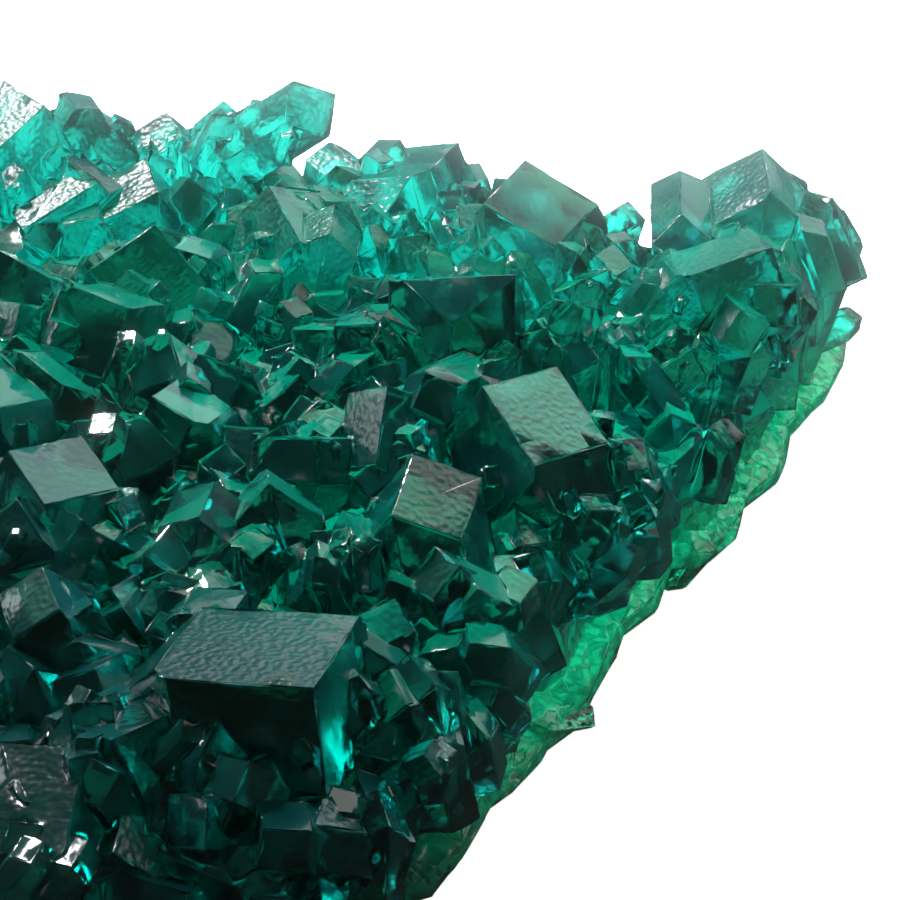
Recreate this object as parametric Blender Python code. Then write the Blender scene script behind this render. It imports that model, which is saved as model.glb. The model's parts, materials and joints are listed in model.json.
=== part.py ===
"""Dioptase: one broken plate of crystals that grew together into a single solid.

A thin crust carries short six-sided prisms, each closed by three rhombic end faces that
meet in a point. Lengths are in metres, +Z is up, and the plate rests on its flat cut.
"""

import itertools
import math

import bmesh
import bpy
import numpy as np
from mathutils import Vector

MM = 0.001
# Dioptase's end faces lean this far from the prism axis, as its crystal form gives.
END_FACE_TILT = math.radians(50.96)
# Apex to the middle of an end face, in prism half-widths.
APEX_TO_FACE_CENTRE = 0.917
CRUST_MIDDLE = 6.5
CRUST_EDGE = 1.7
EDGE_POINTS = 78
LONGEST_CRYSTAL = 11.0
LOW_LYING_LENGTH = 5.2
FRINGE_LENGTH = 3.4
FOOT_HEIGHT = 1.3
LEDGED_WIDTH = 2.0
BREAK_TILT = math.radians(8)

# Middle of an end face (x, y, z in mm), prism half-width (mm), and how that face lies:
# the compass angle and the height angle of its normal, and the turn of its apex from
# straight uphill, all in degrees; last, for a short one, its length in mm. Front first.
FACED_CRYSTALS = (
    # The broad flat-topped crystal at the front and its neighbours.
    (-5.4, -10.8, 9.4, 3.4, 95, 76, 28),
    (-9.8, -12.4, 8.2, 2.4, 110, 70, -20),
    (-0.8, -11.2, 6.3, 1.7, -92, 70, -60),
    (-6.5, -15.8, 6.8, 2.1, -100, 60, 25),
    (-12.0, -15.2, 7.6, 2.4, -140, 62, -10),
    (-12.9, -7.9, 8.2, 1.5, -145, 58, 30),
    # The ridged crystal in the middle and the big pitted one behind it.
    (-0.4, -4.1, 9.5, 2.1, -40, 65, -15),
    (3.2, 0.3, 9.5, 2.8, -20, 67, 10, 7.4),
    (-3.0, 0.6, 8.5, 2.0, -160, 38, 0),
    # The step of small bright faces along the right rim.
    (5.6, 0.2, 3.3, 1.2, -43, 47, 0),
    (6.2, 1.9, 4.1, 1.4, -130, 42, -35),
    # The middle of the plate.
    (-12.4, -2.4, 9.0, 2.2, 5, 65, -10),
    (-13.9, -5.0, 8.6, 1.6, -120, 50, 10),
    (-6.9, -3.7, 8.0, 1.7, -20, 39, -35),
    (-8.8, -4.8, 7.8, 1.0, -80, 65, 0),
    (-8.1, 3.3, 8.3, 1.5, -100, 55, 30),
    (-5.2, 2.9, 7.8, 1.3, -60, 40, -20),
    (-6.9, 0.8, 7.4, 1.3, -50, 52, 15),
    (-10.4, 0.6, 8.0, 1.6, -75, 58, -25),
    (-2.5, 6.4, 8.9, 1.5, 180, 69, 25),
    (4.4, 7.0, 7.8, 1.5, -120, 48, 10),
    (-11.9, 7.3, 9.4, 2.0, 55, 63, 50),
    (-10.3, 4.6, 8.3, 1.5, -95, 66, 70),
    # The back, seen standing up in profile.
    (-12.1, 10.2, 9.4, 2.2, 147, 48, 10),
    (-12.5, 14.2, 9.3, 2.0, -150, 65, 30),
    (-7.2, 11.9, 9.0, 2.3, -140, 35, 20),
    (-5.2, 11.5, 9.5, 1.4, -170, 60, 25),
    (-17.5, 17.0, 10.9, 2.3, -140, 62, 45),
    (-1.6, 16.4, 9.5, 2.6, 136, 70, 65),
    (3.6, 12.8, 9.5, 2.7, -55, 65, -20),
    (9.8, 10.3, 9.2, 2.4, 135, 70, 15),
    (10.8, 14.9, 9.2, 2.3, -173, 54, 35),
)

# Tip (x, y, z in mm), prism half-width (mm), then in degrees the compass angle that the
# crystal leans towards, how far it leans, and the turn about its own axis; last, how far
# below the point the tip is broken off (mm), with nothing for a whole one.
TIPPED_CRYSTALS = (
    (0.4, 8.4, 11.9, 2.3, 90, 26, 21, 2.1),
    (-4.3, 17.7, 11.7, 1.3, 5, 57, 10),
    (-9.0, 19.4, 10.6, 1.2, 60, 14, 40),
    (-14.8, 18.9, 10.5, 2.1, 110, 16, -15),
    (-11.4, 19.6, 10.0, 1.3, 95, 22, 5),
    (8.9, 15.9, 9.1, 1.3, 140, 6, 25),
    (15.2, 15.4, 8.0, 1.3, 40, 22, 15),
    (-5.0, 16.2, 8.7, 1.5, -150, 20, 35),
    (-8.8, 17.0, 9.4, 2.0, -160, 24, 0),
    (1.4, 15.6, 8.5, 1.0, 60, 45, 20),
    (6.6, 15.2, 7.7, 1.3, 70, 30, 0),
    (5.8, 10.9, 8.3, 1.7, -20, 25, 30),
    (14.2, 14.3, 4.7, 1.6, -10, 35, 10),
    (-3.0, -5.0, 8.5, 1.8, -120, 20, 50),
    (-1.2, -8.2, 6.8, 1.5, -30, 26, 15),
    (1.0, -7.5, 7.2, 1.6, -50, 24, -10),
    (2.4, -4.6, 6.8, 1.8, -60, 28, 10),
    (8.9, 6.2, 4.1, 1.4, -30, 24, 15),
    (7.1, 3.3, 3.4, 1.0, -30, 30, 40),
    (11.2, 9.4, 4.7, 1.5, -20, 18, 30),
    (12.9, 12.2, 3.7, 1.3, -20, 32, 50),
    (7.4, 6.9, 7.3, 0.9, -120, 20, 10),
    (8.7, 6.8, 7.2, 0.9, -40, 26, 35),
    (8.3, 8.0, 7.8, 1.0, 60, 16, 50),
    (-17.0, 3.0, 9.6, 2.2, 170, 26, 5),
    (-16.4, 9.6, 9.8, 2.0, 150, 20, 30),
    (-19.6, 7.6, 8.8, 2.3, 175, 34, -20),
    (-19.8, 14.0, 9.4, 2.2, 160, 22, 45),
    (-20.2, 1.4, 8.4, 1.9, 190, 36, 10),
    (-17.6, -3.6, 9.2, 2.4, 200, 24, 35),
    (-19.6, -7.6, 7.8, 1.9, 205, 38, 0),
    (-16.4, -10.2, 8.6, 2.2, 220, 26, 20),
    (-15.8, -14.0, 7.2, 1.8, 235, 40, -15),
    (-9.4, -16.9, 7.0, 1.6, 260, 38, 25),
    (-3.2, -15.2, 6.4, 1.5, 290, 34, 50),
)

# The broken outline of the crust (x, y in mm), anticlockwise from the notch at the back.
CRUST_OUTLINE = (
    (4.0, 17.6), (0.0, 19.4), (-4.0, 19.0), (-8.0, 20.6), (-12.0, 20.2), (-17.0, 20.4),
    (-21.2, 18.0), (-23.2, 12.5), (-24.0, 6.0), (-23.6, 0.0), (-22.3, -6.0), (-20.2, -12.0),
    (-16.8, -16.4), (-12.0, -18.8), (-7.0, -18.9), (-3.6, -16.9), (-1.9, -14.2),
    (-0.8, -12.3), (0.4, -11.5), (1.1, -10.3), (1.9, -8.7), (3.2, -6.5), (4.3, -4.8),
    (5.2, -3.3), (6.6, -0.9), (7.3, 0.5), (9.2, 3.0), (11.1, 5.1), (12.0, 7.3),
    (13.2, 9.4), (14.0, 11.4), (15.9, 14.4), (16.5, 17.2), (14.4, 19.4), (11.2, 19.6),
    (8.4, 16.8),
)

# The way that the freshly broken side faces (x, y).
BROKEN_SIDE = np.array([0.87, -0.49])
# Places where the broken crust shows bare (x, y, reach in mm).
BARE_PATCHES = ((3.3, -6.0, 1.5), (2.2, -8.0, 1.4))

scatter = np.random.default_rng(65)


def outline_points(count):
    """Points evenly spaced along the crust's outline, pushed in and out by small chips."""
    corners = np.array(CRUST_OUTLINE)
    following = np.roll(corners, -1, axis=0)
    steps = np.linalg.norm(following - corners, axis=1)
    along = np.concatenate([[0.0], np.cumsum(steps)])
    ring = np.vstack([corners, corners[:1]])
    places = (np.arange(count) + scatter.uniform(-0.25, 0.25, count)) % count
    places = np.sort(places) * along[-1] / count
    x = np.interp(places, along, ring[:, 0])
    y = np.interp(places, along, ring[:, 1])
    points = np.column_stack([x, y])
    outward = points - crust_centre(points)
    outward /= np.linalg.norm(outward, axis=1)[:, None]
    chips = 0.25 * np.sin(places * 1.3) + scatter.uniform(-0.38, 0.24, count)
    return points + outward * chips[:, None]


def crust_centre(points):
    """The point of the plate's long middle line that each edge point is nearest to."""
    start = np.array([-12.0, -6.0])
    end = np.array([2.0, 10.0])
    line = end - start
    share = np.clip((points - start) @ line / (line @ line), 0.0, 1.0)
    return start + share[:, None] * line


def crust_height(points, edge):
    """Top of the crust in mm behind its thin rim: it climbs towards the middle."""
    away = np.linalg.norm(points[:, None, :] - edge[None, :, :], axis=2).min(axis=1)
    rise = 1.0 - np.exp(-away / 3.2)
    lumps = 0.25 * np.sin(1.1 * points[:, 0] + 0.7) * np.cos(0.9 * points[:, 1] - 0.4)
    return CRUST_EDGE + (CRUST_MIDDLE - CRUST_EDGE) * rise + lumps


def mesh_object(name, points, faces):
    """A mesh object from points in mm and rings of point numbers, every face outward."""
    mesh = bpy.data.meshes.new(name)
    shape = bmesh.new()
    corners = [shape.verts.new(Vector(point) * MM) for point in points]
    for ring in faces:
        shape.faces.new([corners[number] for number in ring])
    bmesh.ops.recalc_face_normals(shape, faces=shape.faces)
    shape.to_mesh(mesh)
    shape.free()
    made = bpy.data.objects.new(name, mesh)
    bpy.context.scene.collection.objects.link(made)
    return made


def crust(edge):
    """The crust under the crystals: rings that climb from the flat cut to the middle."""
    centre = crust_centre(edge)
    count = len(edge)
    # Share of the way in from the edge, and height in mm where it is not the top's own.
    levels = (
        (0.03, 0.0), (0.0, 0.4), (0.015, 0.85),
        (0.1, 1.15), (0.17, None), (0.38, None), (0.7, None),
    )
    points = []
    for share, height in levels:
        shift = share * (centre - edge)
        ring = edge + shift
        if height is None:
            tops = crust_height(ring, edge) + scatter.uniform(-0.2, 0.2, count)
        elif height == 0.0:
            ring = ring + scatter.uniform(-0.1, 0.1, ring.shape)
            tops = np.zeros(count)
        else:
            ring = ring + scatter.uniform(-0.15, 0.15, ring.shape)
            tops = height + scatter.uniform(-0.2, 0.2, count)
        points.extend(np.column_stack([ring, tops]).tolist())
    faces = []
    for level in range(len(levels) - 1):
        for step in range(count):
            low = level * count + step
            low_next = level * count + (step + 1) % count
            faces.append((low, low_next, low_next + count))
            faces.append((low, low_next + count, low + count))
    last = (len(levels) - 1) * count
    faces.append(tuple(range(last, last + count)))
    faces.append(tuple(reversed(range(count))))
    return mesh_object("crust", points, faces)


def crystal_planes(half_width, length, unevenness, broken):
    """Outward normals and distances (mm) of one crystal's faces, apex near the origin."""
    normals = []
    distances = []
    for side in range(6):
        turn = math.radians(30 + 60 * side)
        normals.append((math.cos(turn), math.sin(turn), 0.0))
        distances.append(half_width * (1.0 + unevenness * scatter.uniform(-1.0, 0.6)))
    for end in range(3):
        turn = math.radians(120 * end)
        across = math.sin(END_FACE_TILT)
        up = math.cos(END_FACE_TILT)
        normals.append((across * math.cos(turn), across * math.sin(turn), up))
        offset = 0.0 if end == 0 else unevenness * scatter.uniform(-1.0, 0.5)
        distances.append(half_width * offset)
    normals.append((0.0, 0.0, -1.0))
    distances.append(length)
    if broken:
        normals.append((0.0, math.sin(BREAK_TILT), math.cos(BREAK_TILT)))
        distances.append(-broken)
    return np.array(normals), np.array(distances)


def crystal(half_width, length, unevenness, broken):
    """Corner points and face rings of one crystal, cut out of space by its faces."""
    normals, distances = crystal_planes(half_width, length, unevenness, broken)
    corners = []
    for trio in itertools.combinations(range(len(normals)), 3):
        trio = list(trio)
        if abs(np.linalg.det(normals[trio])) < 1e-6:
            continue
        meeting = np.linalg.solve(normals[trio], distances[trio])
        if (normals @ meeting > distances + 1e-6).any():
            continue
        if all(np.linalg.norm(meeting - known) > 1e-4 for known in corners):
            corners.append(meeting)
    corners = np.array(corners)
    faces = []
    for normal, distance in zip(normals, distances):
        ring = np.flatnonzero(np.abs(corners @ normal - distance) < 1e-4)
        if len(ring) < 3:
            continue
        middle = corners[ring].mean(axis=0)
        first = corners[ring[0]] - middle
        first /= np.linalg.norm(first)
        second = np.cross(normal, first)
        spokes = corners[ring] - middle
        order = np.argsort(np.arctan2(spokes @ second, spokes @ first))
        faces.append(tuple(int(number) for number in ring[order]))
    return corners, faces


def face_led_turn(compass, height, apex_turn):
    """Rotation that lays a crystal's first end face along the given normal and turn."""
    tilt = END_FACE_TILT
    own_normal = np.array([math.sin(tilt), 0.0, math.cos(tilt)])
    own_uphill = np.array([-math.cos(tilt), 0.0, math.sin(tilt)])
    a = math.radians(compass)
    h = math.radians(height)
    t = math.radians(apex_turn)
    normal = np.array([math.cos(h) * math.cos(a), math.cos(h) * math.sin(a), math.sin(h)])
    uphill = np.array([0.0, 0.0, 1.0]) - normal[2] * normal
    uphill /= np.linalg.norm(uphill)
    uphill = uphill * math.cos(t) + np.cross(normal, uphill) * math.sin(t)
    own = np.column_stack([own_normal, own_uphill, np.cross(own_normal, own_uphill)])
    laid = np.column_stack([normal, uphill, np.cross(normal, uphill)])
    return laid @ own.T, uphill


def tip_led_turn(compass, lean, spin):
    """Rotation that spins a crystal about its axis, then leans it towards a compass angle."""
    a = math.radians(compass)
    b = math.radians(lean)
    s = math.radians(spin - compass)
    leaning = np.array([
        [math.cos(b), 0.0, math.sin(b)],
        [0.0, 1.0, 0.0],
        [-math.sin(b), 0.0, math.cos(b)],
    ])
    return turn_about_z(a) @ leaning @ turn_about_z(s)


def turn_about_z(angle):
    c = math.cos(angle)
    s = math.sin(angle)
    return np.array([[c, -s, 0.0], [s, c, 0.0], [0.0, 0.0, 1.0]])


def grow(pieces, tip, turn, half_width, unevenness, broken=0.0, reach=LONGEST_CRYSTAL):
    """Adds one crystal with its foot inside the crust."""
    axis = turn[:, 2]
    # A foot this high stays inside the crust, and a low-lying crystal stays short.
    length = (tip[2] - FOOT_HEIGHT) / axis[2] if axis[2] > 0.6 else LOW_LYING_LENGTH
    length = min(length, reach)
    corners, faces = crystal(half_width, length, unevenness, broken)
    placed = corners @ turn.T + tip
    pieces.append(mesh_object("crystal", placed, faces))
    foot = tip - axis * length * 0.6
    return foot[:2]


def inside(point, edge):
    """Whether a point lies inside the crust's outline."""
    x, y = point
    following = np.roll(edge, -1, axis=0)
    crosses = (edge[:, 1] > y) != (following[:, 1] > y)
    run = (following[:, 0] - edge[:, 0]) * (y - edge[:, 1])
    reach = edge[:, 0] + run / np.where(crosses, following[:, 1] - edge[:, 1], 1.0)
    return bool((crosses & (x < reach)).sum() % 2)


def add_ledges(pieces, tip, turn, half_width):
    """Smaller crystals grown parallel on the flanks of a big one, which make its ledges."""
    for side in scatter.choice(6, 2, replace=False):
        around = math.radians(60 * side + scatter.uniform(-15, 15))
        out = half_width * scatter.uniform(0.75, 0.95)
        down = half_width * scatter.uniform(1.15, 1.7)
        own = np.array([out * math.cos(around), out * math.sin(around), -down])
        width = half_width * scatter.uniform(0.36, 0.5)
        grow(pieces, tip + turn @ own, turn, width, 0.2, reach=1.3 * half_width)


def crowded(spot, half_width, spacing, taken):
    """Whether a crystal here would stand too close to one that is already placed."""
    for place, width in taken:
        if np.linalg.norm(spot - place) < spacing * (half_width + width):
            return True
    return False


def fill(pieces, taken, edge, wanted, widths, spacing, margin, rise):
    """Scatters smaller crystals in the gaps, leaning outwards, each in a free place."""
    low = edge.min(axis=0)
    high = edge.max(axis=0)
    placed = 0
    for _ in range(6000):
        if placed == wanted:
            break
        spot = scatter.uniform(low, high)
        half_width = scatter.uniform(*widths)
        away = np.linalg.norm(edge - spot, axis=1).min()
        if not inside(spot, edge) or away < margin:
            continue
        if crowded(spot, half_width, spacing, taken):
            continue
        outward = spot - crust_centre(spot[None, :])[0]
        compass = math.degrees(math.atan2(outward[1], outward[0])) + scatter.uniform(-70, 70)
        lean = min(62.0, 10 + 42 * math.exp(-away / 2.5) + scatter.uniform(-8, 22))
        height = crust_height(spot[None, :], edge)[0] + half_width * scatter.uniform(*rise)
        turn = tip_led_turn(compass, lean, scatter.uniform(0, 120))
        tip = np.array([spot[0], spot[1], height])
        # The spot is the crystal's middle, so its tip stands off along the lean.
        tip[:2] += turn[:2, 2] / max(turn[2, 2], 0.4) * min(half_width, height - CRUST_EDGE) * 0.8
        grow(pieces, tip, turn, half_width, 0.28)
        taken.append((spot, half_width))
        placed += 1


def fringe(pieces, taken, edge, wanted):
    """Small crystals lying outwards along the rim, but for the broken front right side."""
    placed = 0
    for _ in range(4000):
        if placed == wanted:
            break
        number = scatter.integers(len(edge))
        outward = edge[number] - crust_centre(edge[number][None, :])[0]
        outward /= np.linalg.norm(outward)
        spot = edge[number] - outward * scatter.uniform(0.5, 1.3)
        half_width = scatter.uniform(0.6, 1.05)
        if outward @ BROKEN_SIDE > 0.75:
            continue
        if crowded(spot, half_width, 0.6, taken):
            continue
        compass = math.degrees(math.atan2(outward[1], outward[0])) + scatter.uniform(-30, 30)
        turn = tip_led_turn(compass, scatter.uniform(48, 74), scatter.uniform(0, 120))
        tip = np.array([spot[0], spot[1], scatter.uniform(1.6, 2.6)])
        tip = tip + turn[:, 2] * scatter.uniform(0.9, 1.6)
        corners, faces = crystal(half_width, FRINGE_LENGTH, 0.25, 0.0)
        pieces.append(mesh_object("crystal", corners @ turn.T + tip, faces))
        taken.append((spot, half_width))
        placed += 1


def joined(base, pieces, name):
    """One solid from the crust and every crystal, as a new object with no modifiers."""
    helpers = bpy.data.collections.new("crystals")
    bpy.context.scene.collection.children.link(helpers)
    for piece in pieces:
        helpers.objects.link(piece)
        bpy.context.scene.collection.objects.unlink(piece)
    union = base.modifiers.new("join", "BOOLEAN")
    union.operation = "UNION"
    union.operand_type = "COLLECTION"
    union.collection = helpers
    union.solver = "EXACT"
    return baked(base, name)


def baked(source, name):
    graph = bpy.context.evaluated_depsgraph_get()
    mesh = bpy.data.meshes.new_from_object(source.evaluated_get(graph))
    mesh.name = name
    made = bpy.data.objects.new(name, mesh)
    bpy.context.scene.collection.objects.link(made)
    return made


def cut_flat(solid):
    """Takes away what reaches below the plane that the plate was broken off along."""
    below = ((-60, -60, -30), (60, -60, -30), (60, 60, -30), (-60, 60, -30))
    level = tuple((x, y, 0.0) for x, y, z in below)
    rings = ((0, 1, 2, 3), (4, 5, 6, 7), (0, 1, 5, 4), (1, 2, 6, 5), (2, 3, 7, 6), (3, 0, 4, 7))
    cutter = mesh_object("cutter", below + level, rings)
    cut = solid.modifiers.new("cut", "BOOLEAN")
    cut.operation = "DIFFERENCE"
    cut.object = cutter
    cut.solver = "EXACT"
    return baked(solid, "dioptase_cluster")


def largest_body(solid):
    """Drops any crumb that no crystal or crust holds on to."""
    shape = bmesh.new()
    shape.from_mesh(solid.data)
    unseen = set(shape.verts)
    bodies = []
    while unseen:
        body = {unseen.pop()}
        front = set(body)
        while front:
            touching = {link.other_vert(vert) for vert in front for link in vert.link_edges}
            front = touching & unseen
            unseen -= front
            body |= front
        bodies.append(body)
    bodies.sort(key=len)
    for body in bodies[:-1]:
        bmesh.ops.delete(shape, geom=list(body), context="VERTS")
    shape.to_mesh(solid.data)
    shape.free()


for stale in list(bpy.data.objects):
    bpy.data.objects.remove(stale)

edge = outline_points(EDGE_POINTS)
crust_body = crust(edge)
crystals = []
taken = []
for x, y, z, half_width, compass, height, apex_turn, *length in FACED_CRYSTALS:
    turn, uphill = face_led_turn(compass, height, apex_turn)
    tip = np.array([x, y, z]) + uphill * APEX_TO_FACE_CENTRE * half_width
    foot = grow(crystals, tip, turn, half_width, 0.14, reach=min([LONGEST_CRYSTAL, *length]))
    taken.append((foot, half_width))
    if half_width >= LEDGED_WIDTH:
        add_ledges(crystals, tip, turn, half_width)
for x, y, z, half_width, compass, lean, spin, *broken in TIPPED_CRYSTALS:
    turn = tip_led_turn(compass, lean, spin)
    foot = grow(crystals, np.array([x, y, z]), turn, half_width, 0.16, *broken)
    taken.append((foot, half_width))
taken.extend((np.array([x, y]), reach) for x, y, reach in BARE_PATCHES)
fill(crystals, taken, edge, 22, (1.2, 1.7), 0.7, 1.5, (1.2, 2.0))
fill(crystals, taken, edge, 50, (0.65, 1.0), 0.7, 0.9, (1.2, 2.2))
fringe(crystals, taken, edge, 40)

cluster = joined(crust_body, crystals, "whole")
cluster = cut_flat(cluster)
largest_body(cluster)
for leftover in list(bpy.data.objects):
    if leftover is not cluster:
        bpy.data.objects.remove(leftover)

corners = np.array([vertex.co[:] for vertex in cluster.data.vertices])
low = corners.min(axis=0)
high = corners.max(axis=0)
shift = np.array([-(low[0] + high[0]) / 2, -(low[1] + high[1]) / 2, -low[2]])
for vertex in cluster.data.vertices:
    vertex.co = vertex.co + Vector(shift)

material = bpy.data.materials.new("dioptase")
material.use_nodes = True
surface = material.node_tree.nodes["Principled BSDF"]
surface.inputs["Base Color"].default_value = (0.02, 0.32, 0.22, 1.0)
surface.inputs["Roughness"].default_value = 0.12
surface.inputs["IOR"].default_value = 1.66
surface.inputs["Transmission Weight"].default_value = 0.8
cluster.data.materials.clear()
cluster.data.materials.append(material)
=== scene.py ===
import json
import math

import bmesh
import bpy
import numpy as np
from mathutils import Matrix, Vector
from mathutils.bvhtree import BVHTree

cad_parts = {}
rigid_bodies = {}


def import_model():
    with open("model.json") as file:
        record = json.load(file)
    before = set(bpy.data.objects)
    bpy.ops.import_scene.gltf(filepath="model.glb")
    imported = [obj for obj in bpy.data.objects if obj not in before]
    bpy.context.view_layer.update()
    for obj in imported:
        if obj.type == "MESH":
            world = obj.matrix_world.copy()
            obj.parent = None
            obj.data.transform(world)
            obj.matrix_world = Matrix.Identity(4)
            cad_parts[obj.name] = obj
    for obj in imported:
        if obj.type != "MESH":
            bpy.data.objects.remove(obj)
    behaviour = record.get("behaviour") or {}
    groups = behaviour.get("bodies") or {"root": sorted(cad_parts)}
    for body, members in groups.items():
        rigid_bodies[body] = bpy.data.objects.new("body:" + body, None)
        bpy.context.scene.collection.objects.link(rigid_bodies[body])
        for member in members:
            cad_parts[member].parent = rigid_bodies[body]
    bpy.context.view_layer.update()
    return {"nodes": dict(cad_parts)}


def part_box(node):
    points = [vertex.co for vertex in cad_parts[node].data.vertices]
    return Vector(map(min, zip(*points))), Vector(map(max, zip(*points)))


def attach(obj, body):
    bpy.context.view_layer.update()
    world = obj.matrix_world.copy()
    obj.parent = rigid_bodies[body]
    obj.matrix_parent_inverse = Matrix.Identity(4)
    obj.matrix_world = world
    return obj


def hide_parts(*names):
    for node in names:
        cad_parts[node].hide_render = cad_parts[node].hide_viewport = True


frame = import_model()

# Camera.
# The view of the photograph: 38 degrees above the table and close up, so that the plate
# runs out of the picture at the left and at the near edge. Lengths are in mm.
MM = 0.001
VIEW_HEIGHT = math.radians(38)
VIEW_DISTANCE = 75.0
VIEW_TARGET = np.array([4.143, -0.812, 8.0])
LENS = 90.0
SENSOR = 36.0
PICTURE = 900
NEAREST_SEEN = 2.0
FARTHEST_SEEN = 20000.0

camera_data = bpy.data.cameras.new("camera")
camera_data.lens = LENS
camera_data.sensor_width = SENSOR
camera_data.clip_start = NEAREST_SEEN * MM
camera_data.clip_end = FARTHEST_SEEN * MM
camera = bpy.data.objects.new("camera", camera_data)
view_away = np.array([0.0, -math.cos(VIEW_HEIGHT), math.sin(VIEW_HEIGHT)])
view_up = np.array([0.0, math.sin(VIEW_HEIGHT), math.cos(VIEW_HEIGHT)])
eye = (VIEW_TARGET + VIEW_DISTANCE * view_away) * MM
camera.location = eye
camera.rotation_euler = (math.pi / 2 - VIEW_HEIGHT, 0.0, 0.0)
bpy.context.scene.collection.objects.link(camera)
bpy.context.scene.camera = camera


def sight(column, row):
    """Direction from the camera through one pixel of the 900 by 900 picture."""
    reach = SENSOR / LENS
    right = (column / PICTURE - 0.5) * reach
    up = (0.5 - row / PICTURE) * reach
    return Vector(np.array([right, 0.0, 0.0]) + view_up * up - view_away).normalized()


def picture_place(points):
    """Column and row of points, seen from the camera, in the 900 by 900 picture."""
    out = points - eye
    scale = PICTURE * LENS / SENSOR / (out @ -view_away)
    return np.column_stack([PICTURE / 2 + out[:, 0] * scale, PICTURE / 2 - (out @ view_up) * scale])


# Small crystals.
# A second growth of small dioptase crystals sits in the hollows between the big ones and on
# the bare rim. They are the same mineral and grew onto the plate, so they are joined to it.
END_FACE_TILT = math.radians(50.96)
APEX_TO_FACE_CENTRE = 0.917
CRYSTAL_LENGTH = 4.0
PLATE_MIDDLE = np.array([-4.0, 1.0])
GROWTH_TRIES = 1900
RIM_TRIES = 3000
GROWTH_HALF_WIDTH = (0.42, 1.15)
# A crystal needs plate at least this high under it, and tips this far above it nearby.
LEAST_PLATE = 0.6
LEAST_GAP = 1.2
# How far below the tips around it a crystal ends, and its rise in mm and in half-widths.
BELOW_TIPS = (0.7, 2.4)
LEAST_RISE = 0.1
MOST_RISE = 1.7
GROWTH_SCATTER = 0.42
# The crust's bare rim is lower than this. Over the next few mm up, the crystals get bigger
# and stand straighter.
BARE_RIM_TOP = 2.3
RIM_FADE = 2.5
RIM_CLEARANCE = 0.75
RIM_SHRINK = 0.45
RIM_SPECK_SIZE = 1.7
RIM_RISE = 0.6
RIM_LEAN = 0.35
SLOPE_LEAN = 0.7
# The small lamp that gives the flashes stands here.
SPARK_PLACE = np.array([-150.0, 130.0, 190.0])
# Small faces that flash in the photograph: picture column and row, half-width in mm.
FLASHES = (
    (112, 438, 0.70), (134, 350, 0.55), (166, 338, 0.25), (232, 268, 0.32), (238, 300, 0.42),
    (655, 436, 0.22), (118, 116, 0.50), (150, 150, 0.30), (498, 166, 0.42), (456, 196, 0.38),
    (172, 176, 0.20), (20, 538, 0.25), (48, 740, 0.22), (36, 864, 0.60), (78, 868, 0.75),
    (492, 716, 0.20), (312, 588, 0.14), (684, 302, 0.22), (782, 352, 0.20), (20, 190, 0.20),
    (592, 462, 0.18), (674, 338, 0.24), (340, 452, 0.22), (130, 636, 0.24), (292, 140, 0.40),
)
FLASH_LIFT = 0.15
FLASH_ROOM = 1.3
# Parts of the picture where no small crystal grew: column, row and radius in pixels.
BARE_PLACES = (
    (328, 125, 52), (150, 765, 60), (130, 855, 30), (60, 792, 30), (30, 110, 40), (548, 408, 62),
    (270, 645, 75), (440, 490, 50), (65, 475, 50), (465, 300, 50), (600, 190, 20),
)
# Only parts of the plate's surface smaller than this, in square mm, carry sparkles.
SPARKLE_GROUND = 1.6
SPARKLES = 260
SPARKLE_HALF_WIDTH = (0.07, 0.22)
SPARKLE_JITTER = 0.07
SPARKLE_LIFT = 0.6
# Room left between the small crystals and the cut, and between them and the plate's box.
FOOT_CLEARANCE = 0.15
BOX_CLEARANCE = 0.05
draw = np.random.default_rng(11)


def crystal_template():
    """Thirteen corners and ten faces of one dioptase crystal of half-width 1, apex at 0.

    The six prism edges stand at the corners of a hexagon. Each end face leaves the apex at
    the same tilt, so the corners under its middle lie twice as deep as those between two.
    """
    around = np.radians(60.0 * np.arange(6))
    reach = 1.0 / math.cos(math.radians(30))
    drop = reach * math.tan(END_FACE_TILT) * np.where(np.arange(6) % 2 == 0, 1.0, 0.5)
    ring = np.column_stack([reach * np.cos(around), reach * np.sin(around)])
    shoulder = np.column_stack([ring, -drop])
    foot = np.column_stack([ring, np.full(6, -CRYSTAL_LENGTH)])
    corners = np.vstack([np.zeros((1, 3)), shoulder, foot])
    ends = [[0, 1 + (k - 1) % 6, 1 + k, 1 + (k + 1) % 6] for k in (0, 2, 4)]
    sides = [[1 + k, 7 + k, 7 + (k + 1) % 6, 1 + (k + 1) % 6] for k in range(6)]
    return corners, ends + sides + [[12, 11, 10, 9, 8, 7]]


def merged_copy(node):
    """The CAD solid as one mesh with shared corners."""
    shape = bmesh.new()
    shape.from_mesh(node.data)
    bmesh.ops.remove_doubles(shape, verts=shape.verts, dist=1e-7)
    mesh = bpy.data.meshes.new("plate")
    shape.to_mesh(mesh)
    shape.free()
    return mesh


def read(source, name, width=1, kind=float):
    """One property of every vertex, edge, loop or face as an array."""
    values = np.empty(len(source) * width, kind)
    source.foreach_get(name, values)
    return values.reshape(-1, width) if width > 1 else values


def turned_to(directions, spins):
    """Rotations that take +Z to each direction, after a spin about it."""
    z = directions / np.linalg.norm(directions, axis=1)[:, None]
    side = np.cross(z, np.where(np.abs(z[:, :1]) < 0.9, [[1.0, 0, 0]], [[0, 1.0, 0]]))
    side /= np.linalg.norm(side, axis=1)[:, None]
    up = np.cross(z, side)
    x = side * np.cos(spins)[:, None] + up * np.sin(spins)[:, None]
    return np.stack([x, np.cross(z, x), z], axis=2)


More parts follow.
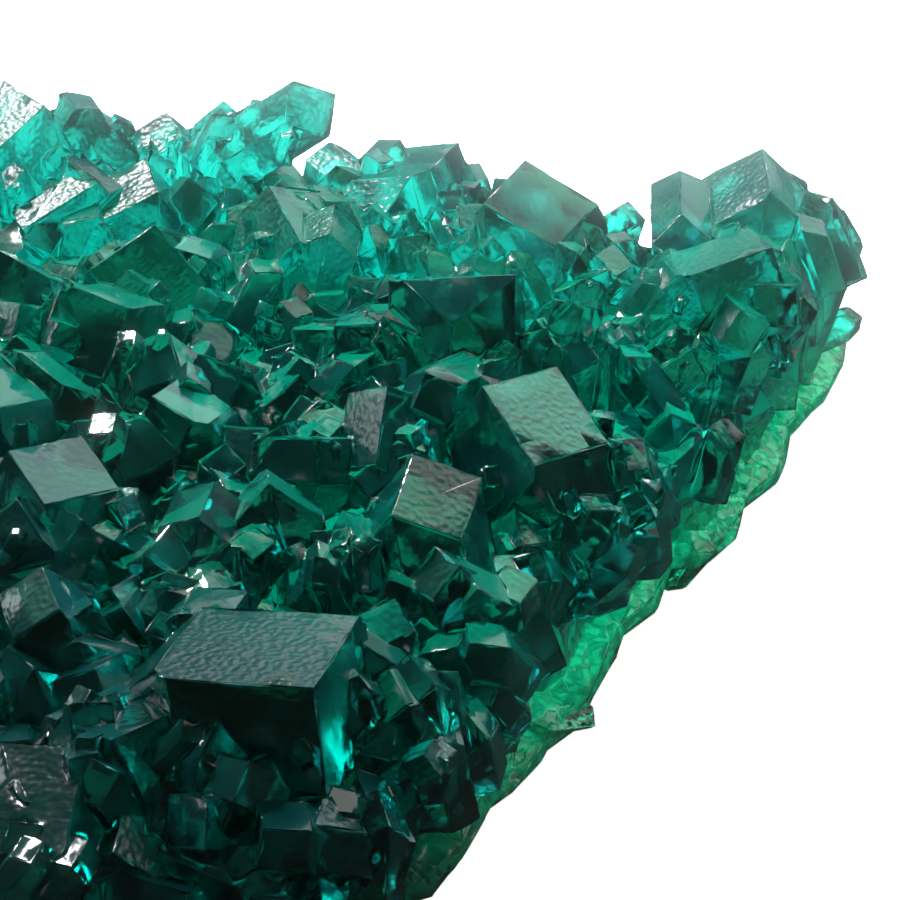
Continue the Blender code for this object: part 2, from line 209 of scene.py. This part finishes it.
def faced_to(normal):
    """Rotation that lays a crystal's first end face along a normal, apex straight uphill."""
    own_normal = np.array([math.sin(END_FACE_TILT), 0.0, math.cos(END_FACE_TILT)])
    own_uphill = np.array([-math.cos(END_FACE_TILT), 0.0, math.sin(END_FACE_TILT)])
    uphill = np.array([0.0, 0.0, 1.0]) - normal[2] * normal
    uphill /= np.linalg.norm(uphill)
    own = np.column_stack([own_normal, own_uphill, np.cross(own_normal, own_uphill)])
    laid = np.column_stack([normal, uphill, np.cross(normal, uphill)])
    return laid @ own.T, uphill


def depth_below_tips(points, cell=0.7 * MM, around=3):
    """How far each point lies under the highest point within about 2 mm of it."""
    spots = np.floor((points[:, :2] - points[:, :2].min(axis=0)) / cell).astype(int) + around
    tops = np.zeros(spots.max(axis=0) + 1 + around)
    np.maximum.at(tops, (spots[:, 0], spots[:, 1]), points[:, 2])
    shifts = [(i, j) for i in range(-around, around + 1) for j in range(-around, around + 1)]
    roof = np.max([np.roll(tops, move, axis=(0, 1)) for move in shifts], axis=0)
    return roof[spots[:, 0], spots[:, 1]] - points[:, 2]


def straight_down(solid, x, y):
    """Where a plumb line at x, y first meets the plate: found or not, the place, the face."""
    hit, place, _, face = solid.ray_cast((x, y, 50.0 * MM), (0, 0, -1))
    return hit, place, face


def top_of(solid, spots):
    """Height of the plate's top under each place, with nothing where there is no plate."""
    heights = np.full(len(spots), np.nan)
    for number, (x, y) in enumerate(spots):
        hit, place, _ = straight_down(solid, x, y)
        if hit:
            heights[number] = place.z
    return heights


cad_node = frame["nodes"]["dioptase_cluster"]
plate = bpy.data.objects.new("plate", merged_copy(cad_node))
bpy.context.scene.collection.objects.link(plate)
low, high = (np.array(corner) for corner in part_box("dioptase_cluster"))
template, rings = crystal_template()

# Crystals that fill the gaps: each stands where the plate's top lies well below the tips
# around it, and rises towards them. Near the rim they are smaller and lean outwards, and
# the bare rim has only low ones that stay clear of its edge.
spots = draw.uniform(low[:2], high[:2], (GROWTH_TRIES + RIM_TRIES, 2))
tops = top_of(plate, spots)
on_plate = tops > LEAST_PLATE * MM
on_plate[GROWTH_TRIES:] &= tops[GROWTH_TRIES:] < BARE_RIM_TOP * MM
spots, tops = spots[on_plate], tops[on_plate]
outwards = spots - PLATE_MIDDLE * MM
outwards /= np.linalg.norm(outwards, axis=1)[:, None]
on_rim = tops < BARE_RIM_TOP * MM
clear = ~on_rim | ~np.isnan(top_of(plate, spots + outwards * RIM_CLEARANCE * MM))
spots, tops, outwards, on_rim = spots[clear], tops[clear], outwards[clear], on_rim[clear]
tip_points = read(plate.data.vertices, "co", 3)
gap = depth_below_tips(np.vstack([tip_points, np.column_stack([spots, tops])]))[len(tip_points):]
deep = (gap > LEAST_GAP * MM) | on_rim
spots, tops, gap, outwards, on_rim = spots[deep], tops[deep], gap[deep], outwards[deep], on_rim[deep]
amount = len(spots)
rim = np.clip(1.0 - (tops / MM - BARE_RIM_TOP) / RIM_FADE, 0.0, 1.0)
half_widths = draw.uniform(*GROWTH_HALF_WIDTH, amount) * MM * (1.0 - RIM_SHRINK * rim)
half_widths[on_rim] *= RIM_SPECK_SIZE
slant = rim * np.where(on_rim, RIM_LEAN, SLOPE_LEAN)
lean = np.column_stack([outwards * slant[:, None], np.ones(amount)])
lean += GROWTH_SCATTER * draw.normal(size=(amount, 3))
turns = turned_to(lean, draw.uniform(0, 2 * math.pi, amount))
room_above = gap - draw.uniform(*BELOW_TIPS, amount) * MM
rise = np.clip(room_above, LEAST_RISE * MM, MOST_RISE * half_widths)
rise = np.where(on_rim, RIM_RISE * half_widths, rise * (1.0 - 0.5 * rim))
tips = np.column_stack([spots, tops]) + turns[:, :, 2] * rise[:, None]
placed = list(np.einsum("nij,kj->nki", turns, template) * half_widths[:, None, None] + tips[:, None])
kept = np.ones(amount, bool)
seen_tips = picture_place(tips)
for column, row, radius in BARE_PLACES:
    kept &= np.hypot(seen_tips[:, 0] - column, seen_tips[:, 1] - row) > radius


def flashing(place, half_width, lift, jitter):
    """A crystal with one end face over a place, turned so that the small lamp flashes in it."""
    to_lamp = SPARK_PLACE * MM - place
    to_eye = eye - place
    normal = to_lamp / np.linalg.norm(to_lamp) + to_eye / np.linalg.norm(to_eye)
    normal = normal / np.linalg.norm(normal) + jitter
    normal /= np.linalg.norm(normal)
    turn, uphill = faced_to(normal)
    tip = place + normal * lift + uphill * APEX_TO_FACE_CENTRE * half_width
    return template @ turn.T * half_width + tip


for column, row, half_width in FLASHES:
    hit, place, _, _ = plate.ray_cast(eye, sight(column, row))
    if hit:
        size = half_width * MM
        placed.append(flashing(np.array(place), size, size + FLASH_LIFT * MM, 0.0))
        kept &= np.linalg.norm(tips - np.array(place), axis=1) > FLASH_ROOM * size + half_widths
for x, y in draw.uniform(low[:2], high[:2], (SPARKLES, 2)):
    hit, place, face = straight_down(plate, x, y)
    size = draw.uniform(*SPARKLE_HALF_WIDTH) * MM
    jitter = draw.normal(0.0, SPARKLE_JITTER, 3)
    if hit and place.z > BARE_RIM_TOP * MM and plate.data.polygons[face].area < SPARKLE_GROUND * MM**2:
        placed.append(flashing(np.array(place), size, SPARKLE_LIFT * size, jitter))

# The corners of the feet stay above the cut, and what would leave the plate's box is dropped.
placed = np.array(placed)
placed[:, 7:, 2] = np.maximum(placed[:, 7:, 2], low[2] + FOOT_CLEARANCE * MM)
above_low = placed.min(axis=1) > low + BOX_CLEARANCE * MM
below_high = placed.max(axis=1) < high - BOX_CLEARANCE * MM
fits = (above_low & below_high).all(axis=1)
fits[:amount] &= kept

growth = bpy.data.collections.new("growth")
bpy.context.scene.collection.children.link(growth)
for corners in placed[fits]:
    mesh = bpy.data.meshes.new("small")
    mesh.from_pydata(corners.tolist(), [], rings)
    growth.objects.link(bpy.data.objects.new("small", mesh))

union = plate.modifiers.new("join", "BOOLEAN")
union.operation = "UNION"
union.operand_type = "COLLECTION"
union.collection = growth
union.solver = "MANIFOLD"
graph = bpy.context.evaluated_depsgraph_get()
joined = bpy.data.meshes.new_from_object(plate.evaluated_get(graph))
for leftover in list(growth.objects):
    bpy.data.objects.remove(leftover)
bpy.data.collections.remove(growth)
bpy.data.objects.remove(plate)

# Facets.
# Every flat face of every crystal, its edges worn back and chipped a little, with the low
# growth steps and slightly tilted patches that dioptase shows.
SAME_PLACE = 0.002 * MM
SAME_PLANE = math.radians(0.6)
SAME_FACET = math.radians(1)
SHARP_EDGE = math.radians(13)
# Corners lower than this belong to the cut, which stays flat.
CUT_TOP = 0.1 * MM
EDGE_WEAR = 0.07 * MM
# A facet's edges are worn where it is wider than this many times the wear.
LEAST_WORN_WIDTH = 2.4
# Wear of an edge between chips, and what a chip adds, as shares of the wear.
EVEN_WEAR = 0.15
CHIP_WEAR = 2.0
CHIP_LENGTHS = (0.35, 1.1)
FINEST_EDGE = 0.34 * MM
SPLIT_ABOVE = 1.35
SPLIT_ROUNDS = 7
MOST_TRIANGLES = 170000
# Growth relief of a facet: patches with a tilt and a depth of their own, and steps about
# 1 mm apart. Lengths are in mm, the tilt and the lean are slopes.
PATCHES = 4
PATCH_TILT = 0.013
PATCH_RISE = 0.03
STEP_PITCH = (0.5, 1.6)
STEP_DEPTH = 0.055
STEPPED_SHARE = 0.6
STEP_LEAN = 0.25
FLAT_TREAD = 0.72
DEEPEST_RELIEF = 0.16
# Swell of a clear face and what frost adds, in mm, and the lengths of its waves.
CLEAR_SWELL = 0.004
FROST_SWELL = 0.014
SWELL_LENGTHS = (0.5, 1.3)
HAZE_LENGTHS = (2.5, 7.0)
FINE_HAZE_LENGTHS = (0.6, 1.6)
# Frost of a face from 0 to 1: by chance up to this, and more towards the back.
CHANCE_FROST = 0.6
BACK_FROST = 0.45
# Faces with a look of their own: picture column and row, and their frost.
FROSTED_FACES = (
    (270, 640, 1.0), (445, 485, 0.75), (550, 400, 0.8), (365, 410, 0.9), (372, 316, 0.7),
    (625, 562, 0.9), (672, 520, 0.9), (65, 472, 0.6), (312, 225, 0.9), (120, 242, 0.7),
    (268, 292, 0.5), (248, 450, 0.6), (20, 592, 0.6), (422, 252, 0.6), (620, 272, 0.6),
    (735, 262, 0.6), (400, 160, 0.8), (290, 110, 0.8), (575, 200, 0.3), (420, 410, 0.1),
    (132, 845, 1.0), (128, 862, 1.0),
)

shape = bmesh.new()
shape.from_mesh(joined)
bmesh.ops.remove_doubles(shape, verts=shape.verts, dist=SAME_PLACE)
bmesh.ops.dissolve_degenerate(shape, edges=shape.edges, dist=SAME_PLACE)
bmesh.ops.dissolve_limit(shape, angle_limit=SAME_PLANE, verts=shape.verts, edges=shape.edges)
facet_of = shape.faces.layers.int.new("facet")
inner_of = shape.faces.layers.int.new("inner")


def flat_facets(faces):
    """Groups of faces that meet at less than a degree: each is one facet of a crystal."""
    unseen = set(faces)
    for first in faces:
        if first not in unseen:
            continue
        unseen.discard(first)
        group = [first]
        for face in group:
            for edge in face.edges:
                for other in edge.link_faces:
                    if other in unseen and edge.calc_face_angle(1.0) < SAME_FACET:
                        unseen.discard(other)
                        group.append(other)
        yield group


def wide_enough(group):
    """Whether a facet's area leaves something inside a worn edge of its outline's length."""
    members = set(group)
    outline = [edge for face in group for edge in face.edges if not set(edge.link_faces) <= members]
    area = sum(face.calc_area() for face in group)
    rim_area = LEAST_WORN_WIDTH * EDGE_WEAR * sum(edge.calc_length() for edge in outline)
    return bool(outline) and area * 2 >= rim_area


largest = []
whole = []
cut_up = []
for number, group in enumerate(flat_facets(list(shape.faces))):
    largest.append(max(group, key=lambda face: face.calc_area()))
    for face in group:
        face[facet_of] = number
    if wide_enough(group) and largest[-1].calc_center_median().z > CUT_TOP:
        (whole if len(group) == 1 else cut_up).append(group)
facet_count = len(largest)
facet_normal = np.array([face.normal for face in largest])
facet_centre = np.array([face.calc_center_median() for face in largest])
longest = [max(face.edges, key=lambda edge: edge.calc_length()) for face in largest]
facet_along = np.array([(edge.verts[1].co - edge.verts[0].co).normalized() for edge in longest])
seen = BVHTree.FromBMesh(shape)
face_facet = [face[facet_of] for face in shape.faces]


def facet_at(column, row):
    """The facet that shows at one pixel of the picture, or none."""
    number = seen.ray_cast(Vector(eye), sight(column, row))[2]
    return None if number is None else face_facet[number]


steps = np.random.default_rng(5)
facet_frost = steps.random(facet_count) * CHANCE_FROST
facet_frost += BACK_FROST * np.clip((facet_centre[:, 1] / MM - 4.0) / 12.0, 0.0, 1.0)
for column, row, frost in FROSTED_FACES + tuple((column, row, 0.0) for column, row, _ in FLASHES):
    number = facet_at(column, row)
    if number is not None:
        facet_frost[number] = frost

# Each facet gets a narrow border inside its outline. Where a growth cuts a facet up, the
# border follows the outline of all its parts. Corners stay inside the facet's own box.
bordered = whole + cut_up
outlines = [np.array([vert.co for face in group for vert in face.verts]) for group in bordered]
single_faces = [group[0] for group in whole]
bmesh.ops.inset_individual(shape, faces=single_faces, thickness=EDGE_WEAR, use_even_offset=True)
for group in cut_up:
    bmesh.ops.inset_region(shape, faces=group, thickness=EDGE_WEAR, use_even_offset=True)
for group, outline in zip(bordered, outlines):
    for face in group:
        face[inner_of] = 1
        for vert in face.verts:
            vert.co = Vector(np.clip(vert.co, outline.min(axis=0), outline.max(axis=0)))
bmesh.ops.triangulate(shape, faces=shape.faces)
for _ in range(SPLIT_ROUNDS):
    long = [
        edge for edge in shape.edges
        if edge.calc_length() > FINEST_EDGE * SPLIT_ABOVE
        and edge.verts[0].co.z + edge.verts[1].co.z > 2 * CUT_TOP
    ]
    room = (MOST_TRIANGLES - len(shape.faces)) // 2
    if not long or room <= 0:
        break
    long.sort(key=lambda edge: -edge.calc_length())
    bmesh.ops.subdivide_edges(shape, edges=long[:room], cuts=1, use_grid_fill=False)
    bmesh.ops.triangulate(shape, faces=[face for face in shape.faces if len(face.verts) > 3])
mesh = bpy.data.meshes.new("dioptase_crystals")
shape.to_mesh(mesh)
shape.free()

points = read(mesh.vertices, "co", 3)
pairs = read(mesh.edges, "vertices", 2, np.int32)
facet = read(mesh.attributes["facet"].data, "value", 1, np.int32)
inner = read(mesh.attributes["inner"].data, "value", 1, np.int32)
triangles = read(mesh.loops, "vertex_index", 1, np.int32).reshape(-1, 3)


def clouds(places, waves, lengths):
    """Cloudiness from 0 to 1: the mean of sines in random directions, of these lengths."""
    directions = steps.normal(size=(waves, 3))
    directions /= np.linalg.norm(directions, axis=1)[:, None]
    wave_lengths = steps.uniform(*lengths, waves) * MM
    turn = places @ (directions / wave_lengths[:, None]).T * 2 * math.pi
    level = np.sin(turn + steps.uniform(0, 2 * math.pi, waves)).sum(axis=1) / math.sqrt(waves)
    return 0.5 + 0.5 * np.tanh(0.9 * level)


# Worn edges: the corners outside every inner face move in where the shape is convex.
lean_in = np.zeros_like(points)
mesh_normals = read(mesh.vertices, "normal", 3)
np.add.at(lean_in, pairs[:, 0], points[pairs[:, 1]] - points[pairs[:, 0]])
np.add.at(lean_in, pairs[:, 1], points[pairs[:, 0]] - points[pairs[:, 1]])
of_inner = np.zeros(len(points), bool)
of_inner[triangles[inner == 1].ravel()] = True
convex = ((lean_in * mesh_normals).sum(axis=1) < 0) & ~of_inner & (points[:, 2] > CUT_TOP)
chipped = EVEN_WEAR + CHIP_WEAR * clouds(points, 12, CHIP_LENGTHS) ** 2
worn = points - mesh_normals * (convex * chipped * EDGE_WEAR)[:, None]

across = np.cross(facet_normal, facet_along)
patch_tilt = steps.normal(0, PATCH_TILT, (facet_count, PATCHES, 2))
patch_rise = steps.uniform(0, PATCH_RISE, (facet_count, PATCHES)) * MM
step_pitch = steps.uniform(*STEP_PITCH, facet_count) * MM
step_depth = steps.uniform(0.0, STEP_DEPTH, facet_count) * (steps.random(facet_count) < STEPPED_SHARE) * MM
step_lean = steps.normal(0, STEP_LEAN, facet_count)


def relief(place, number):
    """Depth of the growth relief at a point of a facet.

    A facet is the lowest of four planes that tilt by about a degree each way, less a
    staircase whose steps run along the facet's longest edge and wander a little.
    """
    out = place - facet_centre[number]
    u = (out * facet_along[number]).sum(axis=1)
    v = (out * across[number]).sum(axis=1)
    tilt = patch_tilt[number]
    plane = tilt[:, :, 0] * u[:, None] + tilt[:, :, 1] * v[:, None] + patch_rise[number]
    mosaic = plane.max(axis=1)
    wander = 0.18 * np.sin(u / (0.9 * MM) + number) + 0.07 * np.sin(u / (0.31 * MM) + 2 * number)
    climb = (v + step_lean[number] * u + wander * MM) / step_pitch[number]
    share = climb - np.floor(climb)
    riser = np.clip((share - FLAT_TREAD) / (1.0 - FLAT_TREAD), 0.0, 1.0)
    stair = step_depth[number] * (riser - share)
    return np.clip(mosaic, 0.0, DEEPEST_RELIEF * MM) - stair


# A corner shared by several facets moves by the mean of their reliefs.
corner = triangles.ravel()
loop_facet = np.repeat(facet, 3)
key = np.unique(corner.astype(np.int64) * facet_count + loop_facet)
vertex, number = key // facet_count, key % facet_count
down = relief(worn[vertex], number)[:, None] * facet_normal[number]
total = np.zeros_like(points)
np.add.at(total, vertex, down)
shares = np.bincount(vertex, minlength=len(points))
frosting = np.zeros(len(points))
np.maximum.at(frosting, vertex, facet_frost[number])
swell = (clouds(points, 14, SWELL_LENGTHS) - 0.5) * (CLEAR_SWELL + FROST_SWELL * frosting) * MM
moved = worn - total / shares[:, None] + mesh_normals * swell[:, None]
moved = np.where(points[:, 2:] < CUT_TOP, points, moved)
mesh.vertices.foreach_set("co", np.clip(moved, low, high).ravel())

# A map of each facet in mm, along and across its longest edge, for its striation.
uv = mesh.uv_layers.new(name="facet_map")
place = worn[corner] - facet_centre[loop_facet]
u = (place * facet_along[loop_facet]).sum(axis=1) / MM + steps.uniform(0, 90, facet_count)[loop_facet]
v = (place * across[loop_facet]).sum(axis=1) / MM + steps.uniform(0, 90, facet_count)[loop_facet]
uv.data.foreach_set("uv", np.column_stack([u, v]).ravel())
tone = mesh.attributes.new("facet_frost", "FLOAT", "FACE")
tone.data.foreach_set("value", facet_frost[facet])
haze = 0.6 * clouds(points, 14, HAZE_LENGTHS) + 0.4 * clouds(points, 14, FINE_HAZE_LENGTHS)
veil = mesh.attributes.new("haze", "FLOAT", "POINT")
veil.data.foreach_set("value", haze)
mesh.shade_smooth()
mesh.update()
mesh.set_sharp_from_angle(angle=SHARP_EDGE)
crystals = bpy.data.objects.new("dioptase_crystals", mesh)
bpy.context.scene.collection.objects.link(crystals)


class Value:
    """A shader socket that takes part in Python arithmetic, each operation a Math node."""

    tree = None

    def __init__(self, socket):
        self.socket = socket

    @classmethod
    def node(cls, kind, settings=None, **sockets):
        """Adds a node of this type, sets it up, then fills or links its sockets."""
        made = cls.tree.nodes.new(kind)
        for name, value in (settings or {}).items():
            setattr(made, name, value)
        for name, value in sockets.items():
            key = int(name[1:]) if name[0] == "_" and name[1:].isdigit() else name.replace("_", " ")
            target = made.inputs[key]
            if isinstance(value, Value):
                cls.tree.links.new(value.socket, target)
            else:
                target.default_value = value
        return made

    def math(self, operation, other=0.0):
        made = Value.node("ShaderNodeMath", {"operation": operation}, _0=self, _1=other)
        return Value(made.outputs[0])

    def __add__(self, other):
        return self.math("ADD", other)

    __radd__ = __add__

    def __mul__(self, other):
        return self.math("MULTIPLY", other)

    __rmul__ = __mul__

    def __rsub__(self, other):
        return self * -1.0 + other

    def smooth(self, start, end):
        """0 below start, 1 above end, and a smooth rise between them."""
        made = Value.node(
            "ShaderNodeMapRange", {"interpolation_type": "SMOOTHSTEP"},
            Value=self, From_Min=start, From_Max=end,
        )
        return Value(made.outputs[0])


def mixed(share, first, second):
    """A colour between two, by a share from 0 to 1."""
    made = Value.node("ShaderNodeMix", {"data_type": "RGBA"}, _0=share, _6=first, _7=second)
    return Value(made.outputs[2])


def noise(place, scale, dimensions="3D"):
    """Smooth noise from 0 to 1 with this many waves a unit."""
    made = Value.node(
        "ShaderNodeTexNoise", {"noise_dimensions": dimensions},
        Vector=place, Scale=scale, Detail=0.0,
    )
    return Value(made.outputs["Fac"])


def along_direction(place, direction):
    """How far each place lies along a direction."""
    made = Value.node("ShaderNodeVectorMath", {"operation": "DOT_PRODUCT"}, _0=place, _1=direction)
    return Value(made.outputs["Value"])


# The mineral: clear blue-green glass, paler where it is hazy, with pale specks of painted sparkle
# on the most frosted faces, a granular crust whose greener colour low down is partly painted glow
# of light through the thin rim, and a dull foot where the plate was broken off.
DEEP_BODY = (0.015, 0.62, 0.58, 1.0)
HAZY_BODY = (0.06, 1.0, 0.98, 1.0)
# The crust's colours: a granular crust, and its greener light colour is partly painted glow of light
# through the thin rim.
CRUST_DARK = (0.0, 0.28, 0.15, 1.0)
CRUST_LIGHT_PAINTED_GLOW = (0.01, 0.66, 0.36, 1.0)
# Pale specks: painted sparkle, small glints painted into the colour.
PAINTED_SPARKLE_COLOUR = (0.55, 0.95, 0.88, 1.0)
ABSORPTION_COLOUR = (0.02, 0.86, 0.85, 1.0)
ABSORPTION_DENSITY = 930.0
REFRACTION = 1.66
TRANSMISSION = 0.96
GRAINS_PER_MM = 5.0
CRUMBS_PER_MM = 2.8
STRIAE_PER_MM = (0.5, 9.0, 1.0)
TOWARDS_BREAK = (0.87, -0.49, 0.0)
POLISH = 0.06
BUMP_STRENGTH = 0.5
BUMP_DEPTH = 0.05

material = bpy.data.materials.new("dioptase_green")
material.use_nodes = True
tree = material.node_tree
tree.nodes.clear()
Value.tree = tree

where = Value(Value.node("ShaderNodeTexCoord").outputs["Object"])
frost = Value(Value.node("ShaderNodeAttribute", {"attribute_name": "facet_frost"}).outputs["Fac"])
cloudy = Value(Value.node("ShaderNodeAttribute", {"attribute_name": "haze"}).outputs["Fac"])
on_facet = Value(Value.node("ShaderNodeUVMap", {"uv_map": "facet_map"}).outputs[0])
stretched = Value(Value.node("ShaderNodeMapping", Vector=on_facet, Scale=STRIAE_PER_MM).outputs[0])
axes = Value.node("ShaderNodeSeparateXYZ", Vector=where)
height = Value(axes.outputs[2])
back = Value(axes.outputs[1]).smooth(3.0 * MM, 15.0 * MM)

grain = noise(where, GRAINS_PER_MM / MM)
striae = noise(stretched, 1.0, "2D") * frost.smooth(0.3, 0.9)
crumbs = noise(where, CRUMBS_PER_MM / MM).smooth(0.38, 0.62)
# Painted sparkle: pale specks on the most frosted faces stand for tiny glints.
painted_sparkle_specks = grain.smooth(0.60, 0.72) * frost.smooth(0.55, 0.8)
above_cut = height.smooth(0.02 * MM, 0.2 * MM)
broken_foot = (1.0 - above_cut) * along_direction(where, TOWARDS_BREAK).smooth(5.5 * MM, 8.0 * MM)
# Low down the colour turns to the crust's greener colour, partly painted glow of light through the thin
# rim.
crust_and_painted_glow = 1.0 - height.smooth(1.3 * MM, 3.6 * MM)
rough_crust = crust_and_painted_glow * above_cut

body = mixed(cloudy, DEEP_BODY, HAZY_BODY)
body = mixed(crust_and_painted_glow, body, mixed(crumbs, CRUST_DARK, CRUST_LIGHT_PAINTED_GLOW))
body = mixed(painted_sparkle_specks, body, PAINTED_SPARKLE_COLOUR)
bump = Value.node(
    "ShaderNodeBump", Strength=BUMP_STRENGTH, Distance=BUMP_DEPTH * MM,
    Height=grain * (frost * frost * 1.7 + 0.12) + striae * 0.3 + crumbs * rough_crust * 1.5,
)
roughness = frost * 0.18 + cloudy * 0.08 + POLISH + back * 0.08
surface = Value.node(
    "ShaderNodeBsdfPrincipled",
    Base_Color=body,
    Roughness=roughness + broken_foot * 0.6 + rough_crust * 0.12,
    IOR=REFRACTION,
    Transmission_Weight=TRANSMISSION,
    Normal=Value(bump.outputs[0]),
)
depth = Value.node("ShaderNodeVolumeAbsorption", Color=ABSORPTION_COLOUR, Density=ABSORPTION_DENSITY)
out = Value.node("ShaderNodeOutputMaterial")
tree.links.new(surface.outputs[0], out.inputs["Surface"])
tree.links.new(depth.outputs[0], out.inputs["Volume"])
mesh.materials.append(material)

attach(crystals, "root")
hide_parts("dioptase_cluster")

# Studio.
# White paper that the picture overexposes. Only the camera sees it: the crystals see a glow
# just below, which fades towards the near left. Two lamps and two soft patches of a dark
# room give the flashes and the reflections. Levels and places are in mm.
PAPER_LEVEL = -0.03
GLOW_LEVEL = -0.06
FLOOR_REACH = 1.0
FLOOR_ROUGHNESS = 0.9
PAPER_COLOUR = (0.86, 0.86, 0.85, 1.0)
PAPER_LIGHT = (1.0, 1.0, 0.98, 1.0)
GLOW_BASE = (0.1, 0.1, 0.1, 1.0)
GLOW_LIGHT = (0.97, 1.0, 0.82, 1.0)
LOW_WALL = (0.90, 0.97, 1.0, 1.0)
HIGH_WALL = (1.0, 0.86, 0.74, 1.0)
ROOM_LIGHT = 0.018
LAMP_PLACE = (8, 48, 34)
LAMP_AIM = (4, 12, 6)
LAMP_COLOUR = (0.80, 0.95, 1.0)
SPARK_AIM = (0, 0, 6)


def floor_plane(name, level, colour, light):
    """A square of 2 m at a height in mm, not part of the object, with its own light."""
    mesh = bpy.data.meshes.new(name)
    r, z = FLOOR_REACH, level * MM
    mesh.from_pydata([(-r, -r, z), (r, -r, z), (r, r, z), (-r, r, z)], [], [(0, 1, 2, 3)])
    made = bpy.data.objects.new(name, mesh)
    bpy.context.scene.collection.objects.link(made)
    material = bpy.data.materials.new(name)
    material.use_nodes = True
    material.cycles.emission_sampling = "NONE"
    surface = material.node_tree.nodes["Principled BSDF"]
    surface.inputs["Base Color"].default_value = colour
    surface.inputs["Roughness"].default_value = FLOOR_ROUGHNESS
    surface.inputs["Emission Color"].default_value = light
    surface.inputs["Emission Strength"].default_value = 1.0
    mesh.materials.append(material)
    return made, material.node_tree


paper, _ = floor_plane("paper", PAPER_LEVEL, PAPER_COLOUR, PAPER_LIGHT)
paper.visible_glossy = False
paper.visible_transmission = False
paper.visible_diffuse = False

glow, glow_tree = floor_plane("glow", GLOW_LEVEL, GLOW_BASE, GLOW_LIGHT)
Value.tree = glow_tree
on_floor = Value(Value.node("ShaderNodeTexCoord").outputs["Object"])
# Brighter towards the back right, where the light stands.
along = along_direction(on_floor, (0.6, 1.0, 0.0))
shine = along.smooth(-12 * MM, 4 * MM) * 1.8 + along.smooth(6 * MM, 36 * MM) * 0.6 + 0.004
glow_surface = glow_tree.nodes["Principled BSDF"]
glow_tree.links.new(shine.socket, glow_surface.inputs["Emission Strength"])
glow.visible_camera = False
glow.visible_glossy = False

world = bpy.data.worlds.new("room")
bpy.context.scene.world = world
world.use_nodes = True
Value.tree = world.node_tree
direction = Value(Value.node("ShaderNodeTexCoord").outputs["Generated"])


def patch(compass, height, inner, outer):
    """A soft round patch of the room, around a compass angle and a height in degrees."""
    a, h = math.radians(compass), math.radians(height)
    centre = (math.cos(h) * math.cos(a), math.cos(h) * math.sin(a), math.sin(h))
    nearness = along_direction(direction, centre)
    return nearness.smooth(math.cos(math.radians(outer)), math.cos(math.radians(inner)))


broad_patch = patch(compass=62, height=32, inner=24, outer=42)
low_patch = patch(compass=152, height=7, inner=7, outer=15)
strength = broad_patch * 1.25 + low_patch * 2.4 + ROOM_LIGHT
height = Value(Value.node("ShaderNodeSeparateXYZ", Vector=direction).outputs[2])
wall = mixed(height.smooth(0.4, 0.8), LOW_WALL, HIGH_WALL)
background = world.node_tree.nodes["Background"]
world.node_tree.links.new(wall.socket, background.inputs["Color"])
world.node_tree.links.new(strength.socket, background.inputs["Strength"])


def softbox(name, place, aim, size, power, colour=(1.0, 1.0, 1.0), mirrored=True):
    """A square studio lamp at a place in mm that faces another place."""
    data = bpy.data.lights.new(name, "AREA")
    data.size = size * MM
    data.energy = power
    data.color = colour
    lamp = bpy.data.objects.new(name, data)
    lamp.location = np.array(place) * MM
    lamp.visible_camera = False
    lamp.visible_glossy = mirrored
    lamp.visible_transmission = mirrored
    facing = Vector(np.array(aim, float) - np.array(place, float))
    lamp.rotation_euler = facing.to_track_quat("-Z", "Y").to_euler()
    bpy.context.scene.collection.objects.link(lamp)


softbox("window", LAMP_PLACE, LAMP_AIM, size=40, power=0.105, colour=LAMP_COLOUR, mirrored=False)
softbox("spark", SPARK_PLACE, SPARK_AIM, size=36, power=0.5)

# The overexposed paper bleeds a little over the outline, and the shadows are slightly open.
DISPLAY_GAMMA = 1.1
BLEED_THRESHOLD = 0.9
BLEED_STRENGTH = 0.08
BLEED_SIZE = 0.15
scene = bpy.context.scene
scene.view_settings.view_transform = "Standard"
scene.view_settings.gamma = DISPLAY_GAMMA
scene.cycles.max_bounces = 4
scene.cycles.transmission_bounces = 4
scene.cycles.glossy_bounces = 1
scene.cycles.diffuse_bounces = 0
scene.use_nodes = True
compositor = scene.node_tree
compositor.nodes.clear()
picture = compositor.nodes.new("CompositorNodeRLayers")
bleed = compositor.nodes.new("CompositorNodeGlare")
bleed.glare_type = "BLOOM"
bleed.inputs["Threshold"].default_value = BLEED_THRESHOLD
bleed.inputs["Strength"].default_value = BLEED_STRENGTH
bleed.inputs["Size"].default_value = BLEED_SIZE
final = compositor.nodes.new("CompositorNodeComposite")
compositor.links.new(picture.outputs["Image"], bleed.inputs["Image"])
compositor.links.new(bleed.outputs["Image"], final.inputs["Image"])
